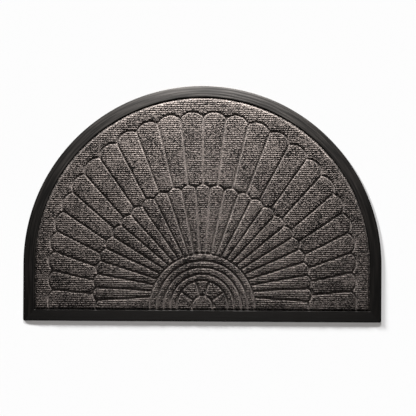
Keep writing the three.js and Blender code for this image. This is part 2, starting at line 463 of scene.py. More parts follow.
    def cut_at(self, groove: RoundGroove, point: np.ndarray) -> RoundGroove:
        """The first stretch of a round groove.

        Args:
            groove: The groove.
            point: The point on it where the stretch ends.

        Returns:
            The shorter groove.
        """
        angle = math.degrees(math.atan2(*(point - groove.centre)[::-1]))
        turned = (groove.start - angle) % 360
        return RoundGroove(groove.centre, groove.radius, groove.start, groove.start - turned)

    def mirrored(self, groove: Groove) -> Groove:
        """The same groove on the other side of the middle line.

        Args:
            groove: The groove.

        Returns:
            Its mirror image, run through from left to right as well.
        """
        flip = np.array([-1.0, 1.0])
        if isinstance(groove, StraightGroove):
            return StraightGroove(groove.end * flip, groove.start * flip)
        return RoundGroove(groove.centre * flip, groove.radius, 180 - groove.end, 180 - groove.start)

    def hub_grooves(self) -> list[Groove]:
        """The nested rings, the rosette's lines and the middle lines of both rows.

        Returns:
            The grooves.
        """
        drop = self.hub[1] - self.front_y
        grooves: list[Groove] = []
        for radius in (*self.ring_radii, self.rosette_radius):
            leg = math.degrees(math.asin(drop / radius))
            grooves.append(RoundGroove(self.hub, radius, 180 + leg, -leg))
        for angle in self.rosette_angles:
            inner = self.fan_point(self.hub, angle, self.rosette_radius)
            grooves.append(StraightGroove(inner, self.fan_point(self.hub, angle, self.ring_radii[-1])))
        grooves.append(StraightGroove(self.inner_crown(0), self.outer_valley(0)))
        grooves.append(self.inner_tip(0))
        return grooves

    def grooves(self) -> list[Groove]:
        """Every groove of the fan."""
        right = self.right_half()
        return [*self.hub_grooves(), *right, *(self.mirrored(groove) for groove in right)]

    def in_zone(self, zone: Zone, points: np.ndarray) -> np.ndarray:
        """Which points lie in one zone of the carpet.

        Args:
            zone: The zone.
            points: Points of the carpet.

        Returns:
            A flag for each point.
        """
        row = self.row(points)
        in_hub = np.linalg.norm(points - self.hub, axis=1) < self.ring_radii[0]
        match zone:
            case Zone.FIELD:
                return row == 0
            case Zone.OUTER_LEFT:
                return (row == 1) & (points[:, 0] < 0)
            case Zone.OUTER_RIGHT:
                return (row == 1) & (points[:, 0] >= 0)
            case Zone.INNER_PETALS:
                return (row == 2) & ~in_hub
            case Zone.HUB:
                return (row == 2) & in_hub

    def row(self, points: np.ndarray) -> np.ndarray:
        """The row of petals of each point: 0 for the field, 1 for the outer and 2 for the inner row.

        Args:
            points: Points of the carpet.

        Returns:
            The rows.
        """
        to_hub = points - self.hub
        angle = np.degrees(np.arctan2(to_hub[:, 0], to_hub[:, 1]))
        reach = np.hypot(to_hub[:, 0], to_hub[:, 1])
        petal = np.clip(np.floor(np.abs(angle) / self.petal_angle), 0, self.last_petal).astype(int)
        found = np.zeros(len(points), int)
        right = np.column_stack([np.abs(points[:, 0]), points[:, 1]])
        for number in range(self.last_petal + 1):
            tip = self.outer_tip(number)
            chord = np.linalg.norm(tip.centre - self.hub)
            inside = (np.linalg.norm(right - tip.centre, axis=1) < tip.radius) | (reach < chord)
            if number == self.last_petal:
                inside = right[:, 0] < self.outer_crown(number)[0]
            found[(petal == number) & inside] = 1
        to_inner = np.linalg.norm(points - self.inner_centre, axis=1)
        inner_row = self.inner_tip_radius - self.inner_tip_rise / 2
        found[(found == 1) & (to_inner < inner_row)] = 2
        return found


@dataclass(frozen=True)
class Relief:
    """Height of the carpet's cloth above the floor, in millimetres."""

    fan: ShellFan = ShellFan()
    slab_top: float = 3.5
    pad_top: float = 8.1
    flange_top: float = 4.6
    floor_half: float = 1.7
    wall_run: float = 2.3
    swell_run: float = 11.0
    swell_share: float = 0.17
    bare_half: float = 1.4
    bare_run: float = 1.6
    turn_half: float = 0.6
    turn_bare: float = 0.35
    flange_width: float = 3.0
    flange_run: float = 4.4

    def groove_distance(self, points: np.ndarray) -> np.ndarray:
        """How far each point lies from the nearest groove's middle line.

        Args:
            points: Points of the carpet.

        Returns:
            Their distances.
        """
        nearest = np.full(len(points), np.inf)
        for groove in self.fan.grooves():
            nearest = np.minimum(nearest, groove.distance(points))
        return nearest

    def edge_distance(self, points: np.ndarray) -> np.ndarray:
        """How far inside the carpet's edge each point lies."""
        return self.fan.outline.edge_distance(points[:, 0], points[:, 1]) - self.fan.carpet_inset

    def rise(self, distance: np.ndarray, ledge: float, run: float) -> np.ndarray:
        """Share of the pad's height at a distance from a groove or an edge.

        Args:
            distance: The distances.
            ledge: How far the pressed ledge reaches.
            run: Width of the wall that rises from it.

        Returns:
            The shares: a round wall, and a slow swell further on.
        """
        share = np.clip((distance - ledge) / run, 0, 1)
        wall = np.sqrt(1 - (1 - share) ** 2)
        further = np.clip((distance - ledge) / self.swell_run, 0, 1)
        swell = 1 - (1 - further) ** 2
        return (1 - self.swell_share) * wall + self.swell_share * swell

    def pressed(self, points: np.ndarray) -> np.ndarray:
        """How bare of pile each point is: 1 in the grooves, less at the edge's turn, 0 on the pads.

        Args:
            points: Points of the carpet.

        Returns:
            Their shares.
        """
        by_groove = 1 - np.clip((self.groove_distance(points) - self.bare_half) / self.bare_run, 0, 1)
        from_turn = np.abs(self.edge_distance(points) - self.flange_width - self.turn_half)
        return np.maximum(by_groove, self.turn_bare * np.clip(1 - from_turn / (2 * self.turn_half), 0, 1))

    def heights(self, points: np.ndarray) -> np.ndarray:
        """The cloth's height at each point.

        Args:
            points: Points of the carpet.

        Returns:
            Their heights.
        """
        from_groove = self.rise(self.groove_distance(points), self.floor_half, self.wall_run)
        by_groove = self.slab_top + (self.pad_top - self.slab_top) * from_groove
        from_edge = self.rise(self.edge_distance(points), self.flange_width, self.flange_run)
        by_edge = self.flange_top + (self.pad_top - self.flange_top) * from_edge
        return np.minimum(by_groove, by_edge)


# Shared node groups and materials


@dataclass
class NodeTree:
    """A short hand for adding nodes to a tree and joining them."""

    tree: bpy.types.NodeTree

    def add(self, kind: str, **settings: object) -> bpy.types.Node:
        """Adds a node and gives it its settings.

        Args:
            kind: The node's type.
            settings: Attributes of the node.

        Returns:
            The node.
        """
        node = self.tree.nodes.new(kind)
        for name, value in settings.items():
            setattr(node, name, value)
        return node

    def join(self, source: bpy.types.NodeSocket, target: bpy.types.NodeSocket) -> None:
        """Joins an output to an input."""
        self.tree.links.new(source, target)

    def feed(self, target: bpy.types.NodeSocket, value: object) -> None:
        """Joins an output to an input, or writes a plain value on it.

        Args:
            target: The input.
            value: The output or the plain value.
        """
        if isinstance(value, bpy.types.NodeSocket):
            self.join(value, target)
        else:
            target.default_value = value

    def calculate(self, operation: str, *values: object) -> bpy.types.NodeSocket:
        """A Math node's answer.

        Args:
            operation: The node's operation.
            values: Its inputs, sockets or numbers.

        Returns:
            The output.
        """
        node = self.add("ShaderNodeMath", operation=operation)
        for socket, value in zip(node.inputs, values):
            self.feed(socket, value)
        return node.outputs[0]

    def weighed_sum(self, parts: Iterable[tuple[object, float]], middle: float = 0.0) -> bpy.types.NodeSocket:
        """Values added up, each times its weight.

        Args:
            parts: Each value and its weight.
            middle: What is taken off each value first.

        Returns:
            The output.
        """
        total: object = 0.0
        for value, weight in parts:
            from_middle = self.calculate("SUBTRACT", value, middle)
            total = self.calculate("ADD", total, self.calculate("MULTIPLY", from_middle, weight))
        return total

    def spread(
        self, value: object, low: float, high: float, to_low: float, to_high: float
    ) -> bpy.types.NodeSocket:
        """A value carried over from one range to another, held inside it.

        Args:
            value: The value.
            low: Start of its own range.
            high: End of its own range.
            to_low: Start of the new range.
            to_high: End of the new range.

        Returns:
            The output.
        """
        node = self.add("ShaderNodeMapRange", clamp=True)
        names = ("Value", "From Min", "From Max", "To Min", "To Max")
        for name, given in zip(names, (value, low, high, to_low, to_high)):
            self.feed(node.inputs[name], given)
        return node.outputs["Result"]

    def noise(
        self, coordinates: object, scale: float, detail: float = 2.0, roughness: float = 0.5
    ) -> bpy.types.NodeSocket:
        """A Noise Texture's value.

        Args:
            coordinates: Where it is read.
            scale: Its scale.
            detail: Its number of finer layers.
            roughness: How strong these are.

        Returns:
            The output.
        """
        node = self.add("ShaderNodeTexNoise")
        names = ("Vector", "Scale", "Detail", "Roughness")
        for name, given in zip(names, (coordinates, scale, detail, roughness)):
            self.feed(node.inputs[name], given)
        return node.outputs["Fac"]

    def blend(self, share: object, first: object, second: object) -> bpy.types.NodeSocket:
        """Two colours mixed.

        Args:
            share: Share of the second colour.
            first: The first colour.
            second: The second colour.

        Returns:
            The output.
        """
        node = self.add("ShaderNodeMix", data_type="RGBA")
        for name, given in zip(("Factor", "A", "B"), (share, first, second)):
            self.feed(node.inputs[name], given)
        return node.outputs["Result"]

    def stretched(self, coordinates: object, scale: Sequence[float]) -> bpy.types.NodeSocket:
        """Coordinates stretched along their axes.

        Args:
            coordinates: The coordinates.
            scale: What each axis is multiplied by.

        Returns:
            The output.
        """
        node = self.add("ShaderNodeMapping")
        self.feed(node.inputs["Vector"], coordinates)
        self.feed(node.inputs["Scale"], scale)
        return node.outputs["Vector"]

    def bump(self, height: object, distance: float, strength: float) -> bpy.types.NodeSocket:
        """A Bump node's normal.

        Args:
            height: The height.
            distance: What a height of one is worth, in metres.
            strength: The bump's strength.

        Returns:
            The output.
        """
        node = self.add("ShaderNodeBump")
        for name, given in zip(("Height", "Distance", "Strength"), (height, distance, strength)):
            self.feed(node.inputs[name], given)
        return node.outputs["Normal"]


GroupParts = tuple[bpy.types.NodeTree, NodeTree, bpy.types.Node, bpy.types.Node]


def new_group(name: str, inputs: dict[str, tuple[str, object]], outputs: dict[str, str]) -> GroupParts:
    """A shader node group with its sockets.

    Args:
        name: The group's name.
        inputs: Socket type and default of each input.
        outputs: Socket type of each output.

    Returns:
        The group, its short hand, and its input and output nodes.
    """
    group = bpy.data.node_groups.new(name, "ShaderNodeTree")
    for label, (kind, default) in inputs.items():
        socket = group.interface.new_socket(label, in_out="INPUT", socket_type=kind)
        if default is not None:
            socket.default_value = default
    for label, kind in outputs.items():
        group.interface.new_socket(label, in_out="OUTPUT", socket_type=kind)
    nodes = NodeTree(group)
    return group, nodes, nodes.add("NodeGroupInput"), nodes.add("NodeGroupOutput")


@dataclass(frozen=True)
class FibreFlecks:
    """Shared effect: dark and light fibres mixed into one heathered colour."""

    name: str = "fibre_flecks"
    streak_scale: tuple[float, float, float] = (260.0, 520.0, 520.0)
    streak_weight: float = 7.0
    fleck_scale: float = 900.0
    fleck_weight: float = 3.0
    drift_scale: float = 13.0
    drift_weight: float = 2.1

    def group(self) -> bpy.types.NodeTree:
        """Builds the group.

        Returns:
            A group that gives a colour.
        """
        group, nodes, given, result = new_group(
            self.name,
            {
                "Coordinates": ("NodeSocketVector", None),
                "Dark": ("NodeSocketColor", (0.02, 0.02, 0.02, 1.0)),
                "Light": ("NodeSocketColor", (0.2, 0.18, 0.17, 1.0)),
                "Lean": ("NodeSocketFloat", 0.0),
                "Contrast": ("NodeSocketFloat", 1.0),
            },
            {"Colour": "NodeSocketColor"},
        )
        place = given.outputs["Coordinates"]
        streak = nodes.noise(nodes.stretched(place, self.streak_scale), 1.0, 1.0, 0.5)
        fleck = nodes.noise(place, self.fleck_scale, 1.0, 0.6)
        drift = nodes.noise(place, self.drift_scale, 3.0, 0.6)
        parts = ((streak, self.streak_weight), (fleck, self.fleck_weight), (drift, self.drift_weight))
        mixed = nodes.weighed_sum(parts, middle=0.5)
        mixed = nodes.calculate("MULTIPLY", mixed, given.outputs["Contrast"])
        mixed = nodes.calculate("ADD", mixed, given.outputs["Lean"])
        share = nodes.spread(mixed, -1.0, 1.0, 0.0, 1.0)
        colour = nodes.blend(share, given.outputs["Dark"], given.outputs["Light"])
        nodes.join(colour, result.inputs["Colour"])
        return group


@dataclass(frozen=True)
class MouldLines:
    """Shared effect: fine lines and streaks that run along a moulded border."""

    name: str = "mould_lines"
    line_pitch: float = 7.0
    line_rise: float = 0.05
    wander_reach: float = 7.0
    wander_scale: tuple[float, float, float] = (0.012, 0.05, 1.0)
    waver_rise: float = 0.11
    waver_scale: tuple[float, float, float] = (0.015, 0.33, 1.0)
    grain_rise: float = 0.012
    grain_scale: tuple[float, float, float] = (0.04, 2.0, 1.0)
    streak_scale: tuple[float, float, float] = (0.009, 0.26, 1.0)

    def group(self) -> bpy.types.NodeTree:
        """Builds the group.

        Returns:
            A group that gives the lines' height and a mask of the streaks.
        """
        group, nodes, given, result = new_group(
            self.name,
            {"Lay": ("NodeSocketVector", None)},
            {"Height": "NodeSocketFloat", "Streaks": "NodeSocketFloat"},
        )
        lay = given.outputs["Lay"]
        split = nodes.add("ShaderNodeSeparateXYZ")
        nodes.join(lay, split.inputs[0])
        wander = nodes.noise(nodes.stretched(lay, self.wander_scale), 1.0, 2.0)
        across = nodes.weighed_sum(((split.outputs["Y"], 1.0), (wander, self.wander_reach)))
        wave = nodes.calculate("SINE", nodes.calculate("MULTIPLY", across, 2 * math.pi / self.line_pitch))
        waver = nodes.noise(nodes.stretched(lay, self.waver_scale), 1.0, 2.0, 0.5)
        grain = nodes.noise(nodes.stretched(lay, self.grain_scale), 1.0, 3.0, 0.6)
        rises = ((wave, self.line_rise), (waver, self.waver_rise), (grain, self.grain_rise))
        height = nodes.weighed_sum(rises)
        streaks = nodes.noise(nodes.stretched(lay, self.streak_scale), 1.0, 3.0, 0.6)
        nodes.join(height, result.inputs["Height"])
        nodes.join(streaks, result.inputs["Streaks"])
        return group


def principled(name: str) -> tuple[bpy.types.Material, NodeTree, bpy.types.Node]:
    """A new node material with its Principled shader.

    Args:
        name: The material's name.

    Returns:
        The material, its tree and its shader node.
    """
    material = bpy.data.materials.new(name)
    material.use_nodes = True
    return material, NodeTree(material.node_tree), material.node_tree.nodes["Principled BSDF"]


@dataclass(frozen=True)
class FibreFinish:
    """Heathered polypropylene fibre: charcoal and warm grey, matt, with a faint sheen.

    An attribute from 0 to 1 leans the mix of fibres from fleck_low to fleck_high.
    """

    name: str
    fleck_attribute: str
    fleck_low: float = -0.35
    fleck_high: float = 0.35
    contrast: float = 2.6
    dark: Colour = (0.0035, 0.0031, 0.003, 1.0)
    light: Colour = (0.146, 0.13, 0.123, 1.0)
    fuzz_scale: float = 900.0
    fuzz_height: float = 0.0004
    fuzz_strength: float = 0.8
    roughness: float = 0.95
    specular: float = 0.1
    sheen: float = 0.05
    sheen_roughness: float = 0.6

    def material(self, flecks: bpy.types.NodeTree) -> bpy.types.Material:
        """Builds the material.

        Args:
            flecks: The shared group of fibre flecks.

        Returns:
            The material.
        """
        material, nodes, shader = principled(self.name)
        place = nodes.add("ShaderNodeTexCoord").outputs["Object"]
        tuft = nodes.add("ShaderNodeAttribute", attribute_name=self.fleck_attribute)
        group = nodes.add("ShaderNodeGroup", node_tree=flecks)
        nodes.join(place, group.inputs["Coordinates"])
        group.inputs["Dark"].default_value = self.dark
        group.inputs["Light"].default_value = self.light
        group.inputs["Contrast"].default_value = self.contrast
        lean = nodes.spread(tuft.outputs["Fac"], 0.0, 1.0, self.fleck_low, self.fleck_high)
        nodes.join(lean, group.inputs["Lean"])
        nodes.join(group.outputs["Colour"], shader.inputs["Base Color"])
        fuzz = nodes.noise(place, self.fuzz_scale, 2.0, 0.7)
        nodes.join(nodes.bump(fuzz, self.fuzz_height, self.fuzz_strength), shader.inputs["Normal"])
        shader.inputs["Roughness"].default_value = self.roughness
        shader.inputs["Specular IOR Level"].default_value = self.specular
        shader.inputs["Sheen Weight"].default_value = self.sheen
        shader.inputs["Sheen Roughness"].default_value = self.sheen_roughness
        return material


@dataclass(frozen=True)
class RubberFinish:
    """Black moulded rubber with fine lines along the border and a little dust in streaks."""

    name: str = "moulded_rubber"
    body: Colour = (0.0008, 0.00075, 0.0007, 1.0)
    dust: Colour = (0.0068, 0.006, 0.0054, 1.0)
    dust_from: float = 0.46
    dust_to: float = 0.72
    dust_most: float = 0.9
    smoothest: float = 0.36
    roughest: float = 0.5
    specular: float = 0.2
    lay_attribute: str = "lay"

    def material(self, lines: bpy.types.NodeTree) -> bpy.types.Material:
        """Builds the material.

        Args:
            lines: The shared group of mould lines.

        Returns:
            The material.
        """
        material, nodes, shader = principled(self.name)
        lay = nodes.add("ShaderNodeAttribute", attribute_name=self.lay_attribute).outputs["Vector"]
        group = nodes.add("ShaderNodeGroup", node_tree=lines)
        nodes.join(lay, group.inputs["Lay"])
        streaks = group.outputs["Streaks"]
        share = nodes.spread(streaks, self.dust_from, self.dust_to, 0.0, self.dust_most)
        nodes.join(nodes.blend(share, self.body, self.dust), shader.inputs["Base Color"])
        roughness = nodes.spread(streaks, 0.3, 0.7, self.smoothest, self.roughest)
        nodes.join(roughness, shader.inputs["Roughness"])
        nodes.join(nodes.bump(group.outputs["Height"], MM, 1.0), shader.inputs["Normal"])
        shader.inputs["Specular IOR Level"].default_value = self.specular
        return material


@dataclass(frozen=True)
class FloorFinish:
    """Plain white floor, matt."""

    name: str = "white_floor"
    colour: Colour = (0.9, 0.911, 0.916, 1.0)

    def material(self) -> bpy.types.Material:
        """Builds the material.

        Returns:
            The material.
        """
        material, _, shader = principled(self.name)
        shader.inputs["Base Color"].default_value = self.colour
        shader.inputs["Roughness"].default_value = 1.0
        shader.inputs["Specular IOR Level"].default_value = 0.0
        return material


# Pieces


def mesh_object(name: str, points: np.ndarray, faces: Iterable[Sequence[int]]) -> bpy.types.Object:
    """A smooth shaded mesh object at the origin, from points in millimetres.

    Args:
        name: The object's name.
        points: The vertices.
        faces: The faces.

    Returns:
        The object, linked to the scene.
    """
    mesh = bpy.data.meshes.new(name)
    mesh.from_pydata((np.asarray(points) * MM).tolist(), [], [list(face) for face in faces])
    mesh.polygons.foreach_set("use_smooth", [True] * len(mesh.polygons))
    mesh.update()
    piece = bpy.data.objects.new(name, mesh)
    bpy.context.scene.collection.objects.link(piece)
    return piece


@dataclass
class RubberBase:
    """The rubber moulding: a backing sheet with a border that swells towards the carpet."""

    outline: MatOutline = field(default_factory=MatOutline)
    backing: float = 2.6
    border_width: float = 28.6
    edge: float = 1.5
    top: float = 7.1
    flatness: float = 0.7
    lip: float = 1.0
    round_over: float = 0.5
    border_steps: int = 24
    lip_steps: int = 3
    arch_steps: int = 220
    corner_steps: int = 6

    def section(self) -> list[tuple[float, float]]:
        """The border's section, from the underside over to the well.

        Returns:
            The inset and the height of each of its points.
        """
        crown = self.border_width - self.lip
        rows = [(self.round_over, 0.0), (0.0, self.round_over)]
        for step in range(self.border_steps + 1):
            share = step / self.border_steps
            swell = self.flatness * share + (1 - self.flatness) * (1 - (1 - share) ** 2)
            rows.append((share * crown, self.edge + (self.top - self.edge) * swell))
        for step in range(1, self.lip_steps + 1):
            turn = step / self.lip_steps * math.pi / 2
            rows.append((crown + self.lip * math.sin(turn), self.top - self.lip * (1 - math.cos(turn))))
        rows.append((self.border_width, self.backing))
        return rows

    def build(self) -> bpy.types.Object:
        """Builds the moulding.

        Returns:
            The piece.
        """
        rows = self.section()
        rings = [self.outline.ring(inset, self.arch_steps, self.corner_steps) for inset, _ in rows]
        count = len(rings[0])
        points = [np.column_stack([ring, np.full(count, height)]) for ring, (_, height) in zip(rings, rows)]
        faces: list[list[int]] = []
        for row in range(len(rows) - 1):
            below, above = row * count, (row + 1) * count
            for side in range(count):
                after = (side + 1) % count
                faces.append([below + side, below + after, above + after, above + side])
        last = (len(rows) - 1) * count
        faces.append(list(range(count))[::-1])
        faces.append([last + side for side in range(count)])
        piece = mesh_object("rubber_border", np.vstack(points), faces)
        self.lay_lines(piece, rings[0], rows)
        return piece

    def lay_lines(self, piece: bpy.types.Object, ring: np.ndarray, rows: list[tuple[float, float]]) -> None:
        """Stores how far along and across the border each vertex lies, in millimetres.

        Args:
            piece: The moulding.
            ring: Its outermost ring.
            rows: Its section.
        """
        steps = np.linalg.norm(np.diff(ring, axis=0), axis=1)
        along = np.concatenate([[0], np.cumsum(steps)])
        lay = np.zeros((len(rows) * len(ring), 3), np.float32)
        for row, (inset, _) in enumerate(rows):
            lay[row * len(ring) : (row + 1) * len(ring), 0] = along
            lay[row * len(ring) : (row + 1) * len(ring), 1] = inset
        attribute = piece.data.attributes.new("lay", "FLOAT_VECTOR", "POINT")
        attribute.data.foreach_set("vector", lay.ravel())

    def dress(self, piece: bpy.types.Object, finish: bpy.types.Material) -> None:
        """Gives the moulding its finish and its place in the model.

        Args:
            piece: The moulding.
            finish: Its material.
        """
        piece.data.materials.append(finish)
        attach(piece, "root")
        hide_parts("rubber_base")


@dataclass
class CarpetCloth:
    """The carpet: one cloth, pressed into grooves, its edges turned down into the well."""

    relief: Relief = field(default_factory=Relief)
    bottom: float = 2.9
    line_spacing: float = 3.2
    beside: tuple[float, ...] = (0.0, 1.7, -1.7, 1.9, -1.9, 2.3, -2.3, 3.0, -3.0, 4.1, -4.1)
    edge_lines: tuple[float, ...] = (1.4, 3.0, 3.2, 3.7, 4.6, 5.6, 6.6)
    grid: float = 3.4
    clearance: float = 0.2
    tolerance: float = 1e-6
    merge_distance: float = 1e-5
    inside_outline: int = 1

    def grid_points(self) -> np.ndarray:
        """A plain staggered grid over the outline's box, clear of the grooves.

        Returns:
            The points.
        """
        outline = self.relief.fan.outline
        half = outline.arch_radius
        xs = np.arange(-half, half, self.grid)
        ys = np.arange(outline.front_y, -outline.front_y, self.grid)
        grid = np.stack(np.meshgrid(xs, ys), axis=-1).reshape(-1, 2)
        grid[:, 0] += np.where(np.round(grid[:, 1] / self.grid) % 2 > 0, self.grid / 2, 0)
        return grid[self.relief.groove_distance(grid) > max(self.beside) + self.grid / 2]

    def places(self) -> np.ndarray:
        """Points of the carpet: along every groove and edge, and a plain grid between.

        Returns:
            The points, none of them nearer to each other than the clearance.
        """
        fan = self.relief.fan
        grooves = fan.grooves()
        parts = [groove.beside(offset, self.line_spacing) for offset in self.beside for groove in grooves]
        for inset in self.edge_lines:
            parts.append(fan.outline.carpet_line(fan.carpet_inset + inset, self.line_spacing))
        places = np.vstack([*parts, self.grid_points()])
        places = places[self.relief.edge_distance(places) > min(self.edge_lines) - self.tolerance]
        cells = np.round(places / self.clearance).astype(int)
        _, first = np.unique(cells, axis=0, return_index=True)
        return places[np.sort(first)]

    def build(self) -> bpy.types.Object:
        """Builds the cloth.

        Returns:
            The piece.
        """
        fan = self.relief.fan
        edge = fan.outline.carpet_line(fan.carpet_inset, self.line_spacing)
        places = [Vector(place) for place in np.vstack([edge, self.places()]).tolist()]
        around = [(index, (index + 1) % len(edge)) for index in range(len(edge))]
        corners, _, triangles, origins, *_ = delaunay_2d_cdt(
            places, around, [], self.inside_outline, self.merge_distance
        )
        flat = np.array([[corner.x, corner.y] for corner in corners])
        points = np.column_stack([flat, self.relief.heights(flat)])
        rim = [index for index, origin in enumerate(origins) if any(o < len(edge) for o in origin)]
        rim_order = sorted(rim, key=lambda index: min(o for o in origins[index] if o < len(edge)))
        skirt = points[rim_order] * (1, 1, 0) + (0, 0, self.bottom)
        faces = [list(triangle) for triangle in triangles]
        start = len(points)
        for step, vertex in enumerate(rim_order):
            after = (step + 1) % len(rim_order)
            faces.append([start + step, start + after, rim_order[after], vertex])
        piece = mesh_object("carpet_cloth", np.vstack([points, skirt]), faces)
        bare = np.concatenate([self.relief.pressed(flat), np.ones(len(skirt))])
        attribute = piece.data.attributes.new("bare", "FLOAT", "POINT")
        attribute.data.foreach_set("value", bare.astype(np.float32))
        return piece

    def dress(
        self, piece: bpy.types.Object, finish: bpy.types.Material, pile: Sequence[bpy.types.Object]
    ) -> None:
        """Gives the cloth its finish and its place in the model.

        Args:
            piece: The cloth.
            finish: Its material.
            pile: The pieces that stand on it; not used.
        """
        piece.data.materials.append(finish)
        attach(piece, "root")
        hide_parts("carpet")


@dataclass
class RibbedPile:
    """Short loops of pile, three lines of them to a rib, on all that the press left standing."""

    relief: Relief = field(default_factory=Relief)
    rib_pitch: float = 5.35
    rib_shift: float = -1.3
    lines: tuple[float, ...] = (-1.1, 0.0, 1.1)
    middle_lift: float = 0.4
    loop_pitch: float = 2.7
    line_stagger: float = 0.37
    rib_stagger: float = 0.31
    loop_length: float = 4.3
    loop_width: float = 2.3
    loop_height: float = 1.2
    crest_share: float = 0.42
    shoulder_share: float = 0.5
    sink: float = 0.3
    groove_clearance: float = 3.6
    edge_clearance: float = 5.4
    jitter: float = 0.4
    jitter_across: float = 0.3
    jitter_up: float = 0.2
    smallest: float = 0.85
    largest: float = 1.15
    turn: float = 0.2
    seed: int = 11
    zone_seeds: int = 10

    def places(self) -> np.ndarray:
        """Where the loops stand, in millimetres.

        Returns:
            The points, line by line.
        """
        outline = self.relief.fan.outline
        rng = np.random.default_rng(self.seed)
        half = outline.arch_radius
        ribs = np.arange(outline.front_y + self.rib_shift, -outline.front_y, self.rib_pitch)
        xs = np.arange(-half, half, self.loop_pitch)
        parts = []
        for number, rib in enumerate(ribs):
            for place, offset in enumerate(self.lines):
                shift = self.loop_pitch * (self.line_stagger * place + self.rib_stagger * number)
                line = np.zeros((len(xs), 3))
                line[:, 0] = xs + shift % self.loop_pitch
                line[:, 1] = rib + offset
                line[:, 2] = 0.0 if offset else self.middle_lift
                parts.append(line)
        points = np.vstack(parts)
        spread = (self.jitter, self.jitter * self.jitter_across, self.jitter * self.jitter_up)
        points += rng.normal(0, 1, points.shape) * spread
        points = points[self.relief.edge_distance(points) > self.edge_clearance]
        points = points[self.relief.groove_distance(points[:, :2]) > self.groove_clearance]
        points[:, 2] += self.relief.heights(points[:, :2])
        return points

    def loop_mesh(self) -> bpy.types.Object:
        """One loop of pile: a small mound with six sides and a short crest.

        Returns:
            The object, which the pile's tree repeats.
        """
        across = self.loop_width / 2
        along = self.loop_length / 2
        crest = along * self.crest_share
        shoulder = along * self.shoulder_share
        foot = [(along, 0), (shoulder, across), (-shoulder, across)]
        foot += [(-along, 0), (-shoulder, -across), (shoulder, -across)]
        points = [(x, y, -self.sink) for x, y in foot]
        points += [(crest, 0, self.loop_height), (-crest, 0, self.loop_height)]
        faces = [(0, 1, 6), (1, 2, 7, 6), (2, 3, 7), (3, 4, 7), (4, 5, 6, 7), (5, 0, 6)]
        return mesh_object("pile_loop", np.array(points, float), faces)

    def tree(self) -> bpy.types.NodeTree:
        """The tree that sets a loop on every point, turned and sized at random.

        Returns:
            The Geometry Nodes tree.
        """
        tree = bpy.data.node_groups.new("set_pile", "GeometryNodeTree")
        sockets = {
            "Geometry": "NodeSocketGeometry",
            "Loop": "NodeSocketObject",
            "Finish": "NodeSocketMaterial",
            "Smallest": "NodeSocketFloat",
            "Largest": "NodeSocketFloat",
            "Turn": "NodeSocketFloat",
            "Seed": "NodeSocketInt",
        }
        for label, kind in sockets.items():
            tree.interface.new_socket(label, in_out="INPUT", socket_type=kind)
        tree.interface.new_socket("Geometry", in_out="OUTPUT", socket_type="NodeSocketGeometry")
        nodes = NodeTree(tree)
        given = nodes.add("NodeGroupInput")
        result = nodes.add("NodeGroupOutput")
        loop = nodes.add("GeometryNodeObjectInfo")
        nodes.join(given.outputs["Loop"], loop.inputs["Object"])
        seed = given.outputs["Seed"]
        size = self.random_value(nodes, given.outputs["Smallest"], given.outputs["Largest"], seed)
        back = nodes.calculate("MULTIPLY", given.outputs["Turn"], -1.0)
        next_seed = nodes.calculate("ADD", seed, 1.0)
        turned = nodes.add("ShaderNodeCombineXYZ")
        nodes.join(self.random_value(nodes, back, given.outputs["Turn"], next_seed), turned.inputs["Z"])
        set_on = nodes.add("GeometryNodeInstanceOnPoints")
        nodes.join(given.outputs["Geometry"], set_on.inputs["Points"])
        nodes.join(loop.outputs["Geometry"], set_on.inputs["Instance"])
        nodes.join(turned.outputs[0], set_on.inputs["Rotation"])
        nodes.join(size, set_on.inputs["Scale"])
        last_seed = nodes.calculate("ADD", seed, 2.0)
        store = nodes.add("GeometryNodeStoreNamedAttribute", data_type="FLOAT", domain="INSTANCE")
        nodes.join(set_on.outputs["Instances"], store.inputs["Geometry"])
        store.inputs["Name"].default_value = "fleck"
        nodes.join(self.random_value(nodes, 0.0, 1.0, last_seed), store.inputs["Value"])
        real = nodes.add("GeometryNodeRealizeInstances")
        nodes.join(store.outputs["Geometry"], real.inputs["Geometry"])
        dress = nodes.add("GeometryNodeSetMaterial")
        nodes.join(real.outputs["Geometry"], dress.inputs["Geometry"])
        nodes.join(given.outputs["Finish"], dress.inputs["Material"])
        nodes.join(dress.outputs["Geometry"], result.inputs["Geometry"])
        return tree

    def random_value(self, nodes: NodeTree, low: object, high: object, seed: object) -> bpy.types.NodeSocket:
        """A random number for each loop.

        Args:
            nodes: The tree that it is added to.
            low: The smallest number.
            high: The largest number.
            seed: The seed.

        Returns:
            The output.
        """
        node = nodes.add("FunctionNodeRandomValue", data_type="FLOAT")
        nodes.feed(node.inputs[2], low)
        nodes.feed(node.inputs[3], high)
        nodes.join(seed, node.inputs["Seed"])
        return node.outputs[1]

    def build(self, finish: bpy.types.Material, field_painted_shade_finish: bpy.types.Material) -> list[bpy.types.Object]:
        """Builds the pile, one piece for each zone of the carpet.

        Args:
            finish: The pile's material.
            field_painted_shade_finish: The material of the pile round the fan, a darker copy of the pile's
                material: painted shade that makes the field look less lit than the petals.

        Returns:
            The pieces.
        """
        places = self.places()
        loop = self.loop_mesh()
        tree = self.tree()
        pieces = []
        for number, zone in enumerate(Zone):
            here = self.relief.fan.in_zone(zone, places[:, :2])
            holder = mesh_object(f"pile_{zone.value}", places[here], [])
            # The field round the fan gets a darker copy of the pile's material: painted shade that makes it
            # look less lit than the petals.
            here_finish = field_painted_shade_finish if zone is Zone.FIELD else finish
            pieces.append(self.grow(holder, loop, tree, here_finish, number))
        bpy.data.objects.remove(loop)
        return pieces

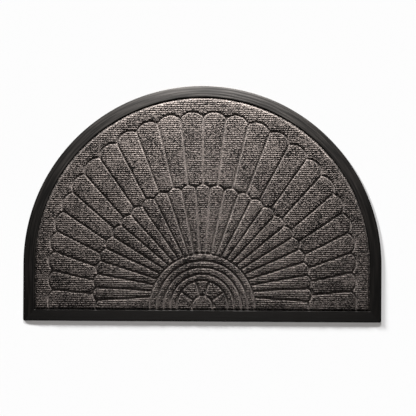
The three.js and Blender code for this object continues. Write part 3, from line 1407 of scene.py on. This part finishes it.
    def grow(
        self,
        holder: bpy.types.Object,
        loop: bpy.types.Object,
        tree: bpy.types.NodeTree,
        finish: bpy.types.Material,
        number: int,
    ) -> bpy.types.Object:
        """Runs the tree on one zone's points and keeps the result as a plain mesh.

        Args:
            holder: The object whose vertices are the points.
            loop: The loop to repeat.
            tree: The tree.
            finish: The pile's material.
            number: The zone's number, which shifts the seed.

        Returns:
            The piece.
        """
        modifier = holder.modifiers.new("pile", "NODES")
        modifier.node_group = tree
        sockets = {item.name: item.identifier for item in tree.interface.items_tree if item.in_out == "INPUT"}
        modifier[sockets["Loop"]] = loop
        modifier[sockets["Finish"]] = finish
        modifier[sockets["Smallest"]] = self.smallest
        modifier[sockets["Largest"]] = self.largest
        modifier[sockets["Turn"]] = self.turn
        modifier[sockets["Seed"]] = self.seed + self.zone_seeds * number
        evaluated = holder.evaluated_get(bpy.context.evaluated_depsgraph_get())
        grown = bpy.data.meshes.new_from_object(evaluated)
        holder.modifiers.remove(modifier)
        holder.data = grown
        grown.polygons.foreach_set("use_smooth", [True] * len(grown.polygons))
        return holder

    def dress(self, pieces: Sequence[bpy.types.Object]) -> None:
        """Gives the pile its place in the model.

        Args:
            pieces: The pile's pieces.
        """
        for piece in pieces:
            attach(piece, "root")


# Floor, light and camera


@dataclass(frozen=True)
class SoftLamp:
    """A rectangular soft light, faintly warm, in metres and watts, aimed at a point."""

    name: str
    place: Place
    aim: Place
    size: tuple[float, float]
    power: float
    only_in_gloss: bool = False
    colour: tuple[float, float, float] = (1.0, 0.95, 0.91)

    def build(self) -> bpy.types.Object:
        """Builds the light.

        Returns:
            The light's object.
        """
        lamp = bpy.data.lights.new(self.name, "AREA")
        lamp.color = self.colour
        lamp.shape = "RECTANGLE"
        lamp.size, lamp.size_y = self.size
        lamp.energy = self.power
        holder = bpy.data.objects.new(self.name, lamp)
        holder.location = self.place
        holder.rotation_euler = (Vector(self.aim) - Vector(self.place)).to_track_quat("-Z", "Y").to_euler()
        holder.visible_diffuse = not self.only_in_gloss
        bpy.context.scene.collection.objects.link(holder)
        return holder


@dataclass(frozen=True)
class LowSun:
    """A soft sun that lights the floor and draws the mat's shadow on it, its angles in degrees.

    The bearing is counted from the arch's side towards the left, and the share is that of the
    floor's light.
    """

    name: str
    bearing: float
    height: float
    softness: float
    share: float
    full_strength: float = 3.49

    def build(self) -> bpy.types.Object:
        """Builds the light.

        Returns:
            The light's object.
        """
        sun = bpy.data.lights.new(self.name, "SUN")
        sun.energy = self.full_strength * self.share / math.sin(math.radians(self.height))
        sun.angle = math.radians(self.softness)
        holder = bpy.data.objects.new(self.name, sun)
        turn, lift = math.radians(self.bearing), math.radians(self.height)
        towards = Vector((-math.sin(turn) * math.cos(lift), math.cos(turn) * math.cos(lift), math.sin(lift)))
        holder.rotation_euler = towards.to_track_quat("Z", "Y").to_euler()
        bpy.context.scene.collection.objects.link(holder)
        return holder


@dataclass
class Studio:
    """The floor, the lights and the camera straight above the mat."""

    floor_side: float = 9.0
    camera_height: float = 3.2
    sensor_width: float = 36.0
    view_width: float = 1.0623
    aim: tuple[float, float] = (0.0133, -0.0110)
    roll: float = 0.35
    ambient: float = 0.19
    ambient_colour: Colour = (1.0, 0.93, 0.9, 1.0)
    lamps: tuple[SoftLamp, ...] = (
        SoftLamp("key", (0.01, 1.03, 0.28), (0.0, 0.1, 0.0), (0.8, 0.38), 160.0),
        SoftLamp("high", (-0.35, 1.0, 1.9), (-0.05, 0.2, 0.0), (0.8, 0.5), 2.2, only_in_gloss=True),
        SoftLamp("front", (0.0, -1.2, 1.9), (0.0, -0.3, 0.0), (1.4, 0.5), 6.0, only_in_gloss=True),
    )
    suns: tuple[LowSun, ...] = (
        LowSun("left_sun", 43.0, 7.3, 2.4, 0.40),
        LowSun("back_sun", 5.0, 10.3, 1.8, 0.32),
        LowSun("top_sun", 0.0, 90.0, 20.0, 0.09),
    )

    def light_only(self, lamp: bpy.types.Object, floor: bpy.types.Object, reach: Reach) -> None:
        """Lets a light fall on the floor alone, or on everything but the floor.

        Args:
            lamp: The light.
            floor: The floor.
            reach: What the light falls on.
        """
        reached = bpy.data.collections.new(f"{lamp.name}_falls_on")
        reached.objects.link(floor)
        reached.collection_objects[0].light_linking.link_state = reach.value
        lamp.light_linking.receiver_collection = reached

    def build_floor(self, finish: bpy.types.Material) -> bpy.types.Object:
        """Builds the floor.

        Args:
            finish: Its material.

        Returns:
            The floor.
        """
        half = self.floor_side / MM / 2
        corners = np.array([(-half, -half, 0), (half, -half, 0), (half, half, 0), (-half, half, 0)], float)
        floor = mesh_object("floor", corners, [(0, 1, 2, 3)])
        floor.data.materials.append(finish)
        return floor

    def build_camera(self) -> None:
        """Builds the camera, looking straight down."""
        lens = bpy.data.cameras.new("camera")
        lens.sensor_width = self.sensor_width
        lens.lens = self.sensor_width * self.camera_height / self.view_width
        camera = bpy.data.objects.new("camera", lens)
        camera.location = (*self.aim, self.camera_height)
        camera.rotation_euler = (0.0, 0.0, math.radians(self.roll))
        bpy.context.scene.collection.objects.link(camera)
        bpy.context.scene.camera = camera

    def build_world(self) -> None:
        """Builds the even light from all round."""
        world = bpy.data.worlds.new("room")
        world.use_nodes = True
        background = world.node_tree.nodes["Background"]
        background.inputs["Color"].default_value = self.ambient_colour
        background.inputs["Strength"].default_value = self.ambient
        bpy.context.scene.world = world

    def build(self, floor_finish: bpy.types.Material) -> None:
        """Builds the whole studio.

        Args:
            floor_finish: The floor's material.
        """
        floor = self.build_floor(floor_finish)
        for lamp in self.lamps:
            self.light_only(lamp.build(), floor, Reach.ALL_BUT_FLOOR)
        for sun in self.suns:
            self.light_only(sun.build(), floor, Reach.FLOOR_ALONE)
        self.build_world()
        self.build_camera()
        bpy.context.scene.view_settings.view_transform = "Standard"
        log.info("studio: %d lights", len(self.lamps) + len(self.suns))


def report(piece: bpy.types.Object) -> None:
    """Logs a piece's name and number of triangles."""
    piece.data.calc_loop_triangles()
    log.info("%s: %d triangles", piece.name, len(piece.data.loop_triangles))


def main() -> None:
    """Builds every piece in order, then the studio."""
    logging.basicConfig(level=logging.INFO, format="%(message)s")
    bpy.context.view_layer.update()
    flecks = FibreFlecks().group()
    lines = MouldLines().group()
    cloth = FibreFinish("pressed_fibre", "bare", fleck_low=-0.95, fleck_high=0.45, contrast=1.0)
    petals = FibreFinish("looped_fibre", "fleck")
    # A darker copy of the pile's material for the field round the fan: painted shade.
    around = FibreFinish("looped_field_fibre", "fleck", fleck_low=-0.52, fleck_high=0.18)

    base = RubberBase()
    border = base.build()
    base.dress(border, RubberFinish().material(lines))
    report(border)

    pile = RibbedPile()
    loops = pile.build(petals.material(flecks), around.material(flecks))
    pile.dress(loops)
    for piece in loops:
        report(piece)

    carpet = CarpetCloth()
    sheet = carpet.build()
    carpet.dress(sheet, cloth.material(flecks), loops)
    report(sheet)

    Studio().build(FloorFinish().material())


if __name__ == "__main__":
    main()
